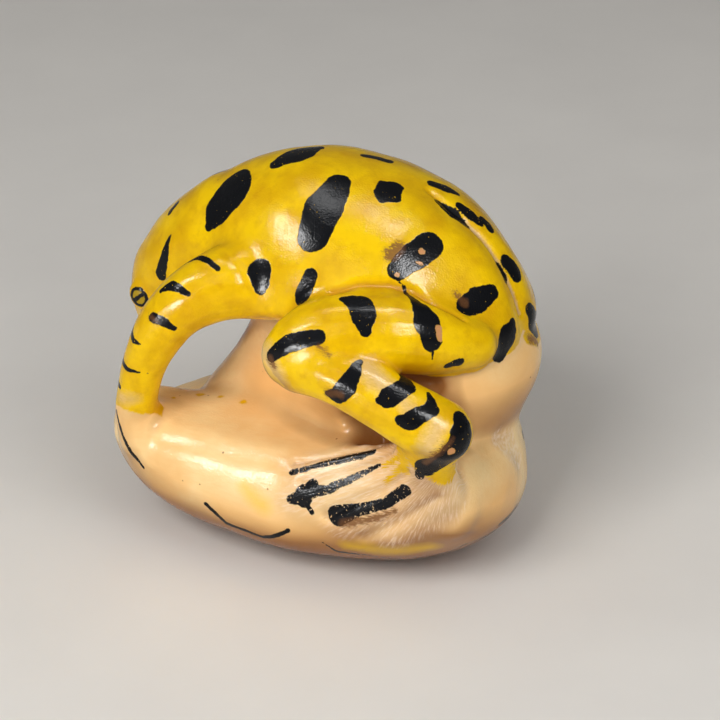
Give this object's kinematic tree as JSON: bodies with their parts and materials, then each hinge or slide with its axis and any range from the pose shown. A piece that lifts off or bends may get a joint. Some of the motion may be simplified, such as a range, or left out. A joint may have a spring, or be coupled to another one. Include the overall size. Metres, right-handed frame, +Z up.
{
  "type": "carved painted frog figurine",
  "caption": "Frog carved from one palm nut, crouching on the uncarved lower half of the nut, painted yellow with black brush marks.",
  "frame": {"origin": "centre of the ground flat on which the nut rests", "axes": "+Z up, -X towards the frog's nose, -Y towards the frog's left side"},
  "size_m": [0.0473, 0.0396, 0.0431],
  "materials": {
    "bare_nut": "varnished, ivory tan with faint grain",
    "yellow_paint": "gloss yellow brushed paint with black marks under varnish, on nut",
    "eye_paint": "gloss olive yellow with a black ring and pupil line, on nut"
  },
  "bodies": {
    "root": {"nut_base": "bare_nut", "belly_web": "bare_nut", "torso": "yellow_paint", "head": "yellow_paint", "left_eye": "eye_paint", "right_eye": "eye_paint", "left_front_leg": "yellow_paint", "right_front_leg": "yellow_paint", "left_front_foot": "bare_nut", "right_front_foot": "bare_nut", "left_thigh": "yellow_paint", "right_thigh": "yellow_paint", "left_shank": "yellow_paint", "right_shank": "yellow_paint", "left_hind_foot": "bare_nut", "right_hind_foot": "bare_nut"}
  },
  "joints": []
}
